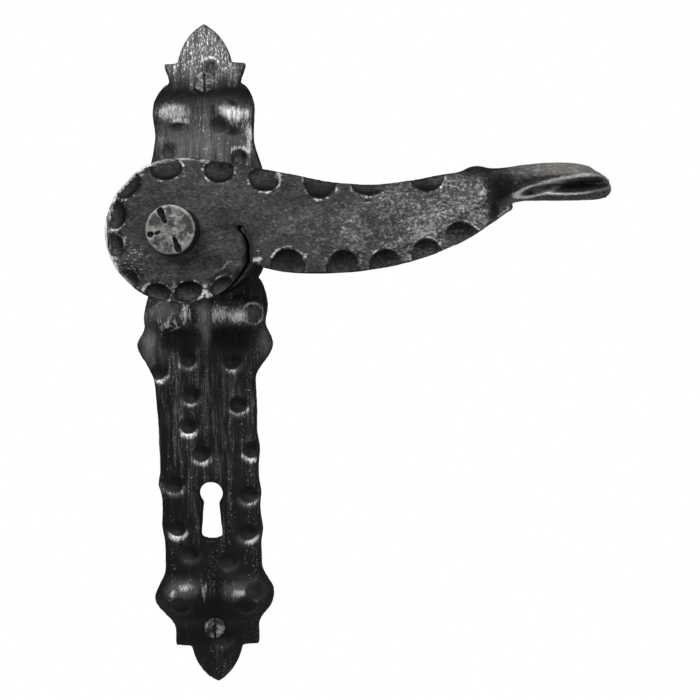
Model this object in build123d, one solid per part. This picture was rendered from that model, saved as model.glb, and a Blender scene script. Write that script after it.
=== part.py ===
from build123d import *
from math import asin, atan2, cos, degrees, hypot, pi, radians, sin, sqrt
import os

# Door lever handle on a long ornamental plate.
# Millimetres, +Z up, +X along the lever, +Y into the door.
# The origin is where the spindle's axis meets the door's face.
# "Out" is the distance in front of the door, so a point's y is minus its out.

# Plate outline: half widths, and heights above the spindle's axis
top_tip_z = 78.6
top_leaf_z = 64.4
top_leaf_half = 9.7
top_fin_half = 14.8
top_notch_z = 57.0
top_notch_half = 12.8
shoulder_z = 47.5
shoulder_half = 18.0
upper_waist_z = 37.5
upper_waist_half = 17.4
flare_z = 23.0
flare_half = 20.4
collar_notch_z = 13.3
collar_notch_half = 16.9
collar_half = 21.2
bulge_z = -23.5
bulge_half = 21.6
bulge_waist_z = -29.3
bulge_waist_half = 21.3
ear_z = -37.2
ear_half = 24.5
body_top_z = -50.5
body_half = 17.7
body_low_z = -117.0
body_low_half = 17.0
lobe_z = -127.6
lobe_half = 21.1
low_neck_z = -139.8
low_neck_half = 15.0
low_fin_z = -145.7
low_leaf_half = 9.2
low_tip_z = -158.7
leaf_bulge = 0.12
upper_bow = -0.4
ear_bow = -1.8
keyhole_bow = -0.35
tip_bow = 0.7

# Plate height in front of the door, along its middle
tip_out = 3.0
fin_out = 3.9
field_out = 7.0
upper_ridge_z = 45.2
upper_ridge_out = 9.4
middle_ridge_z = -26.7
middle_ridge_out = 11.0
lower_ridge_z = -125.5
lower_ridge_out = 9.7
ridge_reach = 7.2
camber_radius = 85.0
plate_wall = 3.0
pocket_top_z = 50.0
pocket_low_z = -131.0

# Grooves that split the ridges in two
upper_groove_width = 6.7
middle_groove_width = 3.4
lower_groove_width = 9.0
groove_floor_out = 6.6
groove_reach = 8.0

# Round dents hammered into the plate
plate_dent_width = 6.6
plate_dent_depth = 1.1

# Keyhole
keyhole_z = -90.0
keyhole_radius = 4.1
keyhole_top_width = 5.0
keyhole_low_width = 7.6
keyhole_length = 15.6

# Boss and spring chamber
boss_wall = 2.5
boss_out = 12.2
boss_edge = 2.4
chamber_out = 9.7

# Fixing screws
upper_screw_z = 57.2
lower_screw_z = -139.0
screw_thread_radius = 2.0
screw_shank_radius = 2.25
screw_head_radius = 3.65
screw_hole_radius = 2.5
screw_shank_length = 5.0
screw_length = 30.0
screw_point = 5.0
screw_slot_width = 1.0
screw_slot_depth = 1.0
screw_sink = 0.15
seat_gap = 0.05

# Neck, bush and washers
journal_radius = 8.0
running_gap = 0.05
bush_outer_radius = 10.0
bush_flange_width = 3.5
bush_flange_thickness = 2.0
bush_rear_out = 4.9
washer_thickness = 1.0
washer_inset = 1.5
face_gap = 0.05
neck_collar_inset = 2.0
neck_collar_thickness = 3.0
neck_shank_radius = 9.0
neck_head_radius = 11.0
neck_head_thickness = 3.5
neck_rear_out = 0.6
neck_flat = 7.0
tenon_side = 9.2
tenon_gap = 0.1
tenon_short = 0.8

# Lever
lever_rear_out = 43.6
lever_thickness = 7.0
hub_radius = 20.8
hub_swell_x = 1.9
hub_swell_z = -0.6
arm_shoulder_z = 18.9
arm_top_end_x = 90.8
arm_top_end_z = 17.2
arm_top_end_slope = 0.12
arm_end_slant = 8.1
arm_low_end_z = 4.5
arm_low_end_slope = 0.8
arm_top_waist_x = 58.0
arm_top_waist_z = 12.6
arm_belly_x = 44.0
arm_belly_z = -13.2
arm_corner_z = -10.1
arm_corner_slope = -0.4
slit_width = 1.6
slit_top_z = 0.4
lever_dent_length = 8.7
lever_dent_width = 5.7
lever_dent_depth = 1.3
lever_dent_inset = 2.9

# Twisted leaf grip
grip_length = 29.2
grip_width = 14.9
grip_thickness = 5.4
grip_twist = 60.0
grip_mid_z = 12.6
grip_neck_reach = 8.1
grip_root_lap = 4.0
grip_roundness = 0.46
grip_groove_length = 32.0
grip_groove_depth = 1.7
grip_groove_radius = 2.9
grip_groove_shift = 6.0
grip_groove_tilt = 4.0

# Rivet
rivet_head_radius = 7.35
rivet_head_height = 6.4
rivet_edge = 0.9
rivet_shank_radius = 3.0
rivet_shank_length = 15.0
press_gap = 0.02
chisel_width = 1.15
chisel_tilt = 16.0

# Spindle and grub screw
spindle_side = 8.0
spindle_gap = 0.05
spindle_front_out = 26.0
spindle_rear = 48.0
grub_radius = 2.5
grub_out = 21.0
grub_length = 4.7
grub_socket_width = 2.5
grub_socket_depth = 2.0

# Drive plate, stops and travel
travel_deg = 40.0
drive_rear_out = 2.8
drive_thickness = 1.5
drive_radius = 12.6
lug_end = 0.53
lug_room = 0.4
lug_width = 5.0
lug_angle = -70.0
rear_washer_thickness = 0.5
rear_washer_width = 1.95
ring_thickness = 1.0
ring_outer_radius = 9.6
ring_groove_radius = 7.2
ring_gap_width = 5.0
stop_radius = 1.9
stop_room = 0.2
stop_gap = 0.15
pin_bite = 1.4
drive_pin_radius = 1.4
drive_pin_length = 4.1

# Return spring
wire_radius = 0.55
coil_gap = 0.75
coil_pitch = 1.56
coil_rear_out = 5.1
coil_turns = 2.36
leg_length = 9.0
leg_touch = 7.2
leg_gap = 0.1

# Spring cover
cover_rear_out = 0.2
cover_thickness = 1.2
cover_inset = 0.6
cover_hole_radius = 8.6
cover_screw_z = 23.0
cover_ear_radius = 4.2
cover_boss_radius = 3.6
cover_boss_bite = 1.0
cover_screw_radius = 1.5
cover_screw_head_radius = 2.6
cover_screw_length = 4.2

# Sizes that follow from the ones above
lever_front_out = lever_rear_out + lever_thickness
lever_mid_out = lever_rear_out + lever_thickness / 2
grip_neck_x = arm_top_end_x + grip_neck_reach
grip_root_x = arm_top_end_x - grip_root_lap
grip_tip_x = grip_neck_x + grip_length
arm_low_end_x = arm_top_end_x + arm_end_slant
flange_front_out = boss_out + bush_flange_thickness
bush_flange_radius = bush_outer_radius + bush_flange_width
washer_outer_radius = bush_flange_radius - washer_inset
neck_collar_radius = bush_flange_radius - neck_collar_inset
collar_rear_out = flange_front_out + washer_thickness + 2 * face_gap
drive_front_out = drive_rear_out + drive_thickness
ring_rear_out = drive_rear_out - face_gap - ring_thickness
coil_radius = bush_outer_radius + coil_gap + wire_radius
pin_radius_out = coil_radius + wire_radius + leg_gap + drive_pin_radius
drive_pin_reach = sqrt(pin_radius_out**2 + leg_touch**2)
lug_radius = drive_pin_reach + drive_pin_radius + lug_end
chamber_radius = lug_radius + lug_room
boss_radius = chamber_radius + boss_wall
cover_radius = chamber_radius - cover_inset
stop_reach = chamber_radius - stop_radius - stop_room
leg_lead = degrees(atan2(leg_touch, pin_radius_out))
coil_start = lug_angle + leg_lead
coil_end = coil_start + 360 * coil_turns
anchor_angle = coil_end + leg_lead
ends = (Align.CENTER, Align.CENTER, Align.MIN)


def post(radius, rear_out, front_out, x=0.0, z=0.0):
    """A round bar that stands square to the door."""
    bar = Cylinder(radius, front_out - rear_out, align=ends)
    return Plane.XZ.offset(rear_out) * Pos(x, z) * bar


def cone(rear_radius, front_radius, rear_out, front_out, x=0.0, z=0.0):
    """The same, with a taper."""
    bar = Cone(rear_radius, front_radius, front_out - rear_out, align=ends)
    return Plane.XZ.offset(rear_out) * Pos(x, z) * bar


def slab(face, rear_out, front_out):
    """A face drawn on the door, given its place and thickness."""
    return extrude(Plane.XZ.offset(rear_out) * face, front_out - rear_out)


def polar(reach, angle):
    """A place on the plate, from its distance and angle about the spindle."""
    return reach * cos(radians(angle)), reach * sin(radians(angle))


def flow(start, end):
    """An S curve that leaves and arrives along the plate's length."""
    third = (end[1] - start[1]) / 3
    return Bezier(start, (start[0], start[1] + third), (end[0], end[1] - third), end)


def swell(notch, crown):
    """A round shoulder that leaves a notch sideways and ends along the plate."""
    across = (notch[0] + crown[0]) / 2
    along = (notch[1] + crown[1]) / 2
    return Bezier(notch, (across, notch[1]), (crown[0], along), crown)


# How far the hammered bar strays sideways, from the top down
bow_stations = [
    (top_tip_z, 0.0),
    (upper_waist_z, upper_bow),
    (collar_notch_z, 0.0),
    (-collar_notch_z, 0.0),
    (ear_z, ear_bow),
    (keyhole_z, keyhole_bow),
    (low_tip_z, tip_bow),
]


def between(stations, z):
    """A smooth value at a height, from a list of heights and values."""
    for (high, start), (low, end) in zip(stations, stations[1:]):
        if low <= z <= high:
            share = (high - z) / (high - low)
            return start + (end - start) * share * share * (3 - 2 * share)
    return stations[-1][1]


def leaf(tip, base):
    """One side of a pointed leaf tip."""
    across = base[0] - tip[0]
    along = tip[1] - base[1]
    middle_x = (tip[0] + base[0]) / 2 + leaf_bulge * abs(along) * (1 if across > 0 else -1)
    middle_z = (tip[1] + base[1]) / 2 + leaf_bulge * abs(across) * (1 if along > 0 else -1)
    return ThreePointArc(tip, (middle_x, middle_z), base)


def plate_side(side, inset):
    """One side of the plate's outline, from the top tip down."""

    def at(half, z):
        return side * (half - inset) + between(bow_stations, z), z

    fin = at(top_fin_half, top_leaf_z)
    notch = at(top_notch_half, top_notch_z)
    shoulder = at(shoulder_half, shoulder_z)
    waist = at(upper_waist_half, upper_waist_z)
    flare = at(flare_half, flare_z)
    upper = at(collar_notch_half, collar_notch_z)
    collar = at(collar_half, 0)
    lower = at(collar_notch_half, -collar_notch_z)
    bulge = at(bulge_half, bulge_z)
    bulge_waist = at(bulge_waist_half, bulge_waist_z)
    ear = at(ear_half, ear_z)
    body = at(body_half, body_top_z)
    body_low = at(body_low_half, body_low_z)
    lobe = at(lobe_half, lobe_z)
    neck = at(low_neck_half, low_neck_z)
    fin_low = at(low_neck_half, low_fin_z)
    top_base = at(top_leaf_half, top_leaf_z)
    low_base = at(low_leaf_half, low_fin_z)
    return [
        leaf((between(bow_stations, top_tip_z), top_tip_z), top_base),
        Line(top_base, fin),
        flow(fin, notch),
        swell(notch, shoulder),
        flow(shoulder, waist),
        flow(waist, flare),
        swell(upper, flare),
        swell(upper, collar),
        swell(lower, collar),
        swell(lower, bulge),
        flow(bulge, bulge_waist),
        flow(bulge_waist, ear),
        flow(ear, body),
        flow(body, body_low),
        flow(body_low, lobe),
        flow(lobe, neck),
        Line(neck, fin_low),
        Line(fin_low, low_base),
        leaf((between(bow_stations, low_tip_z), low_tip_z), low_base),
    ]


def plate_face(inset=0.0):
    """The plate's outline, or the same one with its sides moved in."""
    return make_face(plate_side(1, inset) + plate_side(-1, inset))


# Heights along the plate's middle, from the top tip down
height_stations = [
    (top_tip_z, tip_out),
    (top_notch_z, fin_out),
    (upper_ridge_z, upper_ridge_out),
    (upper_ridge_z - ridge_reach, field_out),
    (middle_ridge_z + ridge_reach, field_out),
    (middle_ridge_z, middle_ridge_out),
    (middle_ridge_z - ridge_reach, field_out),
    (lower_ridge_z + ridge_reach, field_out),
    (lower_ridge_z, lower_ridge_out),
    (low_neck_z, fin_out),
    (low_tip_z, tip_out),
]


def plate_out(z):
    """How far the plate's middle stands out at a height."""
    return between(height_stations, z)


def cambered_block(drop=0.0):
    """The plate's front, bowed across its width, as a block down to the door."""
    rail = [(drop - out, z) for z, out in height_stations]
    edges = [flow(a, b) for a, b in zip(rail, rail[1:])]
    back = camber_radius / 20
    corners = Polyline(rail[-1], (back, rail[-1][1]), (back, rail[0][1]), rail[0])
    profile = Plane.YZ * make_face(edges + [corners])
    half_turn = degrees(asin((ear_half + abs(ear_bow)) / (camber_radius - back))) + 2
    axis = Axis((0, camber_radius, 0), (0, 0, 1))
    return revolve(profile.rotate(axis, -half_turn), axis, 2 * half_turn)


def plate_dent(x, z):
    """A ball set into the plate's front, square to its bowed surface."""
    ball = ((plate_dent_width / 2) ** 2 + plate_dent_depth**2) / (2 * plate_dent_depth)
    front = camber_radius + plate_out(z)
    lean = asin(x / front)
    reach = front + ball - plate_dent_depth
    return Pos(reach * sin(lean), camber_radius - reach * cos(lean), z) * Sphere(ball)


def ridge_groove(z, width, ridge_out):
    """A round-ended gutter that splits a ridge in two."""
    depth = ridge_out - groove_floor_out
    radius = ((width / 2) ** 2 + depth**2) / (2 * depth)
    centre = -groove_floor_out - radius
    gutter = Pos(0, centre, z) * Cylinder(radius, 2 * groove_reach)
    tips = [Pos(0, centre, z + end * groove_reach) * Sphere(radius) for end in (-1, 1)]
    return gutter + tips


def keyhole():
    low = keyhole_z - keyhole_length
    half_top = keyhole_top_width / 2
    half_low = keyhole_low_width / 2
    edges = [
        Polyline((-half_low, low), (-half_top, keyhole_z), (half_top, keyhole_z), (half_low, low)),
        ThreePointArc((half_low, low), (0, low - half_low / 5), (-half_low, low)),
    ]
    ward = slab(make_face(edges), -1, 2 * field_out)
    return ward + post(keyhole_radius, -1, 2 * field_out, 0, keyhole_z)


def screw_seat(z):
    """The countersunk hole for one fixing screw."""
    front = plate_out(z) - screw_sink
    rim = screw_head_radius + seat_gap
    hole = post(screw_hole_radius, -1, front, 0, z)
    sink = cone(screw_shank_radius, rim, front - rim + screw_shank_radius, front, 0, z)
    return hole + sink + post(rim, front, front + tip_out, 0, z)


# Dents in the field above the lever, then below it:
# share of the half width across, share of the field's length down
upper_dents = [(0.66, 0.0), (-0.57, 0.24), (0.34, 0.27), (-0.71, 0.63), (0.73, 0.75)]
lower_dents = [
    (-0.3, -0.03), (0.57, -0.01), (-0.89, 0.05), (-0.28, 0.15), (0.66, 0.2), (-0.37, 0.3),
    (0.87, 0.42), (-0.13, 0.43), (-0.71, 0.58), (0.77, 0.64), (-0.68, 0.8), (0.73, 0.82),
    (-0.44, 0.92), (0.33, 0.95),
]
edge_dents = [
    (-0.68 * bulge_half, middle_ridge_z + 0.19 * ridge_reach),
    (0.81 * bulge_half, middle_ridge_z + 0.06 * ridge_reach),
    (0.7 * lobe_half, lower_ridge_z + 0.17 * ridge_reach),
    (-0.55 * lobe_half, lower_ridge_z - 0.53 * ridge_reach),
    (0.56 * lobe_half, lower_ridge_z - 0.57 * ridge_reach),
    (0.26 * low_leaf_half, lower_screw_z - 0.96 * screw_head_radius),
    (0.22 * top_leaf_half, upper_screw_z + 1.39 * screw_head_radius),
]


def plate_dents():
    upper_low = flare_z
    lower_top = ear_z - (ear_half - body_half)
    places = [(a * upper_waist_half, shoulder_z + b * (upper_low - shoulder_z)) for a, b in upper_dents]
    places += [(a * body_half, lower_top + b * (body_low_z - lower_top)) for a, b in lower_dents]
    return [plate_dent(x + between(bow_stations, z), z) for x, z in places + edge_dents]


def cover_posts():
    """Bosses under the plate's skin that take the cover's screws."""
    front = field_out - plate_wall + cover_boss_bite
    seat = cover_rear_out + cover_thickness
    return [post(cover_boss_radius, seat, front, 0, side * cover_screw_z) for side in (-1, 1)]


def pin_places():
    """The two stops and the spring's anchor, as places on the plate."""
    lug_half = degrees(asin(lug_width / 2 / stop_reach))
    pin_half = degrees(asin((stop_radius + stop_gap) / stop_reach))
    rest = lug_angle + lug_half + pin_half
    limit = lug_angle - travel_deg - lug_half - pin_half
    return polar(stop_reach, rest), polar(stop_reach, limit), polar(drive_pin_reach, anchor_angle)


def make_backplate():
    plate = slab(plate_face(), 0, 2 * middle_ridge_out) & cambered_block()
    boss = fillet(post(boss_radius, 0, boss_out).edges().group_by(Axis.Y)[0], boss_edge)
    plate += boss
    height = pocket_top_z - pocket_low_z
    room = Pos(0, 0, pocket_low_z + height / 2) * Box(4 * ear_half, 8 * field_out, height)
    pocket = slab(plate_face(plate_wall), -1, field_out - plate_wall) & cambered_block(plate_wall) & room
    plate -= pocket + post(chamber_radius, -1, chamber_out)
    plate += cover_posts()
    plate -= [
        ridge_groove(upper_ridge_z, upper_groove_width, upper_ridge_out),
        ridge_groove(middle_ridge_z, middle_groove_width, middle_ridge_out),
        ridge_groove(lower_ridge_z, lower_groove_width, lower_ridge_out),
    ]
    plate -= plate_dents()
    plate -= [keyhole(), screw_seat(upper_screw_z), screw_seat(lower_screw_z)]
    plate -= post(bush_outer_radius + press_gap, 0, 2 * boss_out)
    for (x, z), radius in zip(pin_places(), (stop_radius, stop_radius, drive_pin_radius)):
        plate -= post(radius + press_gap, 0, chamber_out + pin_bite + press_gap, x, z)
    thread = cover_rear_out + cover_screw_length + press_gap
    for side in (-1, 1):
        plate -= post(cover_screw_radius + press_gap, 0, thread, 0, side * cover_screw_z)
    return plate


def make_fixing_screw(z):
    front = plate_out(z) - screw_sink
    neck = front - screw_head_radius + screw_shank_radius
    thread = front - screw_shank_length
    point = front - screw_length + screw_point
    screw = cone(screw_shank_radius, screw_head_radius, neck, front, 0, z)
    screw += post(screw_shank_radius, thread, neck, 0, z)
    screw += post(screw_thread_radius, point, thread, 0, z)
    screw += cone(screw_thread_radius / 6, screw_thread_radius, front - screw_length, point, 0, z)
    slot = Box(screw_slot_width, 2 * screw_slot_depth, 3 * screw_head_radius)
    return screw - Pos(0, -front, z) * slot


def make_bearing_bush():
    tube = post(bush_outer_radius, bush_rear_out, boss_out)
    tube += post(bush_flange_radius, boss_out, flange_front_out)
    return tube - post(journal_radius + running_gap, 0, 2 * flange_front_out)


def make_thrust_washer():
    rear = flange_front_out + face_gap
    ring = post(washer_outer_radius, rear, rear + washer_thickness)
    return ring - post(journal_radius + running_gap, 0, 2 * flange_front_out)


def make_lever_neck():
    collar_front = collar_rear_out + neck_collar_thickness
    neck = post(journal_radius, neck_rear_out, collar_rear_out)
    neck += post(neck_collar_radius, collar_rear_out, collar_front)
    neck += post(neck_shank_radius, collar_front, lever_rear_out)
    neck += post(neck_head_radius, lever_rear_out - neck_head_thickness, lever_rear_out)
    neck += slab(Rectangle(tenon_side, tenon_side), lever_rear_out, lever_front_out - tenon_short)
    socket = spindle_side + 2 * spindle_gap
    neck -= slab(Rectangle(socket, socket), 0, spindle_front_out + 1)
    neck -= post(rivet_shank_radius + press_gap, lever_front_out - rivet_shank_length - 1, lever_front_out)
    groove = post(2 * journal_radius, ring_rear_out - face_gap, drive_rear_out)
    neck -= groove - post(ring_groove_radius, 0, drive_front_out)
    flats = slab(Rectangle(2 * neck_flat, 4 * journal_radius), 0, drive_front_out + face_gap)
    key = post(2 * journal_radius, 0, drive_front_out + face_gap)
    neck -= key - flats
    drill = Pos(0, -grub_out, 0) * Cylinder(
        grub_radius + press_gap, 2 * neck_shank_radius, align=(Align.CENTER, Align.CENTER, Align.MAX)
    )
    return neck - drill


def arm_edges():
    """The upper and lower edges of the lever's arm."""
    top = Spline(
        (0, hub_radius),
        (hub_radius, arm_shoulder_z),
        (arm_top_waist_x, arm_top_waist_z),
        (arm_top_end_x, arm_top_end_z),
        tangents=[(1, 0), (1, arm_top_end_slope)],
    )
    low = Spline(
        (hub_radius + slit_width, arm_corner_z),
        (arm_belly_x, arm_belly_z),
        (arm_low_end_x, arm_low_end_z),
        tangents=[(1, arm_corner_slope), (1, arm_low_end_slope)],
    )
    return top, low


# Hammer marks on the lever: angle round the hub or share of an edge, then share of the inset
hub_dents = [
    (97, 1.2), (134, 0.85), (163.5, 1.12), (192.5, 1.12),
    (224, 0.82), (253, 0.85), (282, 0.9), (311, 0.25),
]
top_dents = [(0.15, 1.3), (0.31, 1.3), (0.48, 0.85), (0.64, 0.85), (0.83, 1.2)]
low_dents = [(0.14, 0.85), (0.37, 0.85), (0.56, 0.85), (0.74, 0.85), (0.91, 0.85)]


def lever_dent(x, z, angle):
    """A long round mark, cut by a ring that dips into the lever's face."""
    deep = lever_dent_depth
    across = ((lever_dent_width / 2) ** 2 + deep**2) / (2 * deep)
    along = ((lever_dent_length / 2) ** 2 + deep**2) / (2 * deep)
    ring = Torus(along - across, across)
    return Pos(x, deep - lever_front_out - along, z) * Rot(0, -angle, 0) * ring


def lever_dents(top, low):
    """The marks along the hub's rim and the arm's edges."""
    dents = []
    for angle, share in hub_dents:
        x, z = polar(hub_radius - share * lever_dent_inset, angle)
        dents.append(lever_dent(x, z, angle + 90))
    for edge, marks, side in ((top, top_dents, 1), (low, low_dents, -1)):
        for place, share in marks:
            point = edge @ place
            along = edge % place
            inset = side * share * lever_dent_inset
            lean = degrees(atan2(along.Y, along.X))
            dents.append(lever_dent(point.X + along.Y * inset, point.Y - along.X * inset, lean))
    return dents


# Sections of the twisted grip, as shares: place from the root to the tip,
# lift over the width, width, thickness and twist
grip_sections = [
    (0.0, -0.26, 1.1, 1.22, 0.0),
    (0.197, -0.145, 0.93, 1.19, 0.35),
    (0.296, -0.055, 0.87, 1.09, 0.72),
    (0.443, 0.0, 0.98, 1.03, 1.0),
    (0.64, 0.01, 1.0, 1.0, 1.0),
    (0.828, -0.035, 0.9, 0.88, 1.0),
    (0.951, -0.1, 0.68, 0.68, 1.0),
    (1.0, -0.14, 0.46, 0.5, 1.0),
]


def grip_section(place, lift, wide, thick, twist):
    """One rounded section of the grip, turned about the lever's length."""
    x = grip_root_x + place * (grip_tip_x - grip_root_x)
    z = grip_mid_z + lift * grip_width
    turn = radians(twist * grip_twist)
    plane = Plane((x, -lever_mid_out, z), x_dir=(0, -sin(turn), cos(turn)), z_dir=(1, 0, 0))
    thickness = thick * grip_thickness
    return plane * RectangleRounded(wide * grip_width, thickness, grip_roundness * thickness)


def lever_slit():
    """The cut between the hub and the arm, with a round end."""
    end = Pos(hub_radius + slit_width / 2, slit_top_z)
    height = slit_top_z - arm_corner_z + slit_width
    cut = Rectangle(slit_width, height, align=(Align.CENTER, Align.MAX))
    return end * cut + end * Circle(slit_width / 2)


def make_lever():
    top, low = arm_edges()
    edges = [top, Line(top @ 1, low @ 1), low, Polyline(low @ 0, (0, 0), (0, hub_radius))]
    swell = Pos(hub_swell_x, hub_swell_z) * Circle(hub_radius)
    flat = make_face(edges) + Circle(hub_radius) + swell - lever_slit()
    lever = slab(flat, lever_rear_out, lever_front_out)
    lever += loft([grip_section(*section) for section in grip_sections])
    lever -= lever_dents(top, low)
    lever -= grip_groove()
    hole = tenon_side + 2 * tenon_gap
    return lever - slab(Rectangle(hole, hole), lever_rear_out - 1, lever_front_out + 1)


def grip_groove():
    """The hollow along the grip's lower front, cut by a ring that dips into it."""
    bow = grip_groove_length**2 / (8 * grip_groove_depth)
    lift = grip_thickness / 2 - grip_groove_depth + bow
    face = Plane(
        ((grip_neck_x + grip_tip_x) / 2 + grip_groove_shift, -lever_mid_out, grip_mid_z),
        x_dir=(1, 0, sin(radians(grip_groove_tilt))),
        z_dir=(0, -cos(radians(grip_twist)), -sin(radians(grip_twist))),
    )
    ring = Torus(bow - grip_groove_radius, grip_groove_radius)
    return face * Pos(0, 0, lift) * Rot(90, 0, 0) * ring


def make_lever_rivet():
    head = post(rivet_head_radius, lever_front_out, lever_front_out + rivet_head_height)
    head = fillet(head.edges().group_by(Axis.Y)[0], rivet_edge)
    shank = post(rivet_shank_radius, lever_front_out - rivet_shank_length, lever_front_out)
    face = -lever_front_out - rivet_head_height
    marks = []
    for angle, x, z, length in chisel_marks:
        wedge = Rot(chisel_tilt, 0, 0) * Rot(0, 0, 45) * Box(chisel_width, chisel_width, length)
        marks.append(Pos(x, face, z) * Rot(0, angle, 0) * wedge)
    return head + shank - marks


# Chisel marks on the rivet's face: turn, place and length
chisel_marks = [(-14, -2.2, 4.6, 4.6), (168, 1.2, -4.4, 4.6), (-80, -4.4, -0.8, 4.0), (10, 4.4, 1.2, 3.6)]


def make_spindle():
    bar = slab(Rectangle(spindle_side, spindle_side), -spindle_rear, spindle_front_out)
    return chamfer(bar.edges().group_by(Axis.Y)[-1], spindle_side / 10)


def make_grub_screw():
    top = -spindle_side / 2
    body = Pos(0, -grub_out, top) * Cylinder(
        grub_radius, grub_length, align=(Align.CENTER, Align.CENTER, Align.MAX)
    )
    hexagon = RegularPolygon(grub_socket_width / 2, 6, major_radius=False)
    socket = extrude(Pos(0, -grub_out, top - grub_length) * hexagon, grub_socket_depth)
    return body - socket


def make_drive_plate():
    plate = post(drive_radius, drive_rear_out, drive_front_out)
    arm = Pos(lug_radius / 2, 0) * Rectangle(lug_radius, lug_width)
    plate += slab(Rot(0, 0, lug_angle) * arm, drive_rear_out, drive_front_out)
    across_flats = 2 * (neck_flat + running_gap)
    bore = Circle(journal_radius + running_gap) & Rectangle(across_flats, 4 * journal_radius)
    plate -= slab(bore, 0, 2 * drive_front_out)
    x, z = polar(drive_pin_reach, lug_angle)
    return plate - post(drive_pin_radius + press_gap, 0, 2 * drive_front_out, x, z)


def make_drive_pin():
    x, z = polar(drive_pin_reach, lug_angle)
    return post(drive_pin_radius, drive_rear_out, drive_rear_out + drive_pin_length, x, z)


def make_rear_washer():
    rear = drive_front_out + face_gap
    bore_radius = journal_radius + running_gap
    ring = post(bore_radius + rear_washer_width, rear, rear + rear_washer_thickness)
    return ring - post(bore_radius, 0, 2 * drive_front_out)


def make_retaining_ring():
    front = ring_rear_out + ring_thickness
    ring = post(ring_outer_radius, ring_rear_out, front)
    ring -= post(ring_groove_radius + running_gap, 0, 2 * front)
    opening = Pos(0, ring_outer_radius) * Rectangle(ring_gap_width, 2 * ring_outer_radius)
    return ring - slab(opening, 0, 2 * front)


def make_stop_pins():
    front = chamber_out + pin_bite
    return [post(stop_radius, drive_rear_out, front, *place) for place in pin_places()[:2]]


def make_spring_anchor():
    anchor = pin_places()[2]
    return post(drive_pin_radius, drive_front_out, chamber_out + pin_bite, *anchor)


def coil_point(angle):
    x, z = polar(coil_radius, angle)
    out = coil_rear_out + coil_pitch * (angle - coil_start) / 360
    return Vector(x, -out, z)


def coil_heading(angle):
    x, z = polar(coil_radius, angle)
    return Vector(-z, -coil_pitch / (2 * pi), x).normalized()


def biarc(start, start_way, end, end_way):
    """Two arcs that join two points and keep the way at each of them."""
    step = end - start
    ways = start_way + end_way
    square = 2 * (start_way.dot(end_way) - 1)
    linear = -2 * step.dot(ways)
    reach = (-linear - sqrt(linear**2 - 4 * square * step.dot(step))) / (2 * square)
    first = start + start_way * reach
    second = end - end_way * reach
    joint = (first + second) * 0.5
    return [TangentArc(start, joint, tangent=start_way), TangentArc(joint, end, tangent=joint - first)]


def make_return_spring():
    quarters = round(4 * coil_turns)
    turns = [coil_start + (coil_end - coil_start) * i / quarters for i in range(quarters + 1)]
    tail = coil_point(coil_start) - coil_heading(coil_start) * leg_length
    tip = coil_point(coil_end) + coil_heading(coil_end) * leg_length
    edges = [Line(tail, coil_point(coil_start))]
    for a, b in zip(turns, turns[1:]):
        edges += biarc(coil_point(a), coil_heading(a), coil_point(b), coil_heading(b))
    edges.append(Line(coil_point(coil_end), tip))
    path = Wire(edges)
    section = Plane(origin=tail, z_dir=coil_heading(coil_start)) * Circle(wire_radius)
    print("return_spring least gap to itself %.3f mm" % least_gap(path))
    return sweep(section, path=path)


def least_gap(path, samples=400):
    """The least space between two turns of the spring."""
    points = [path @ (i / samples) for i in range(samples + 1)]
    apart = int(samples * pi * coil_radius / path.length)
    pairs = ((a, b) for i, a in enumerate(points) for b in points[i + apart:])
    return min((a - b).length for a, b in pairs) - 2 * wire_radius


def make_spring_cover():
    outline = Circle(cover_radius)
    for side in (-1, 1):
        outline += Pos(0, side * cover_screw_z) * Circle(cover_ear_radius)
        outline += Pos(0, side * cover_screw_z / 2) * Rectangle(2 * cover_ear_radius, cover_screw_z)
    front = cover_rear_out + cover_thickness
    cover = slab(outline - Circle(cover_hole_radius), cover_rear_out, front)
    for side in (-1, 1):
        cover -= cover_screw_shape(side, seat_gap)
    return cover


def cover_screw_shape(side, gap=0.0):
    """One countersunk cover screw, or the hole for it with a gap around it."""
    z = side * cover_screw_z
    shank = cover_screw_radius + gap
    head = cover_screw_head_radius + gap
    rear = cover_rear_out
    sunk = cone(head, shank, rear, rear + head - shank, 0, z)
    return sunk + post(shank, rear, rear + cover_screw_length, 0, z)


def make_cover_screws():
    slot = Box(3 * cover_screw_head_radius, cover_thickness, cover_screw_radius / 2)
    places = [Pos(0, -cover_rear_out, side * cover_screw_z) for side in (-1, 1)]
    return [cover_screw_shape(side) - place * slot for side, place in zip((-1, 1), places)]


def save(name, shape):
    solids = shape if isinstance(shape, list) else [shape]
    whole = Compound(children=[solid for item in solids for solid in item.solids()])
    whole.label = name
    export_step(whole, os.path.join("parts", name + ".step"))


os.makedirs("parts", exist_ok=True)
save("backplate", make_backplate())
save("bearing_bush", make_bearing_bush())
save("thrust_washer", make_thrust_washer())
save("lever_neck", make_lever_neck())
save("lever", make_lever())
save("lever_rivet", make_lever_rivet())
save("spindle", make_spindle())
save("grub_screw", make_grub_screw())
save("drive_plate", make_drive_plate())
save("drive_pin", make_drive_pin())
save("rear_washer", make_rear_washer())
save("retaining_ring", make_retaining_ring())
save("stop_pins", make_stop_pins())
save("spring_anchor", make_spring_anchor())
save("return_spring", make_return_spring())
save("spring_cover", make_spring_cover())
save("cover_screws", make_cover_screws())
save("fixing_screws", [make_fixing_screw(upper_screw_z), make_fixing_screw(lower_screw_z)])
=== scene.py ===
import math

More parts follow.
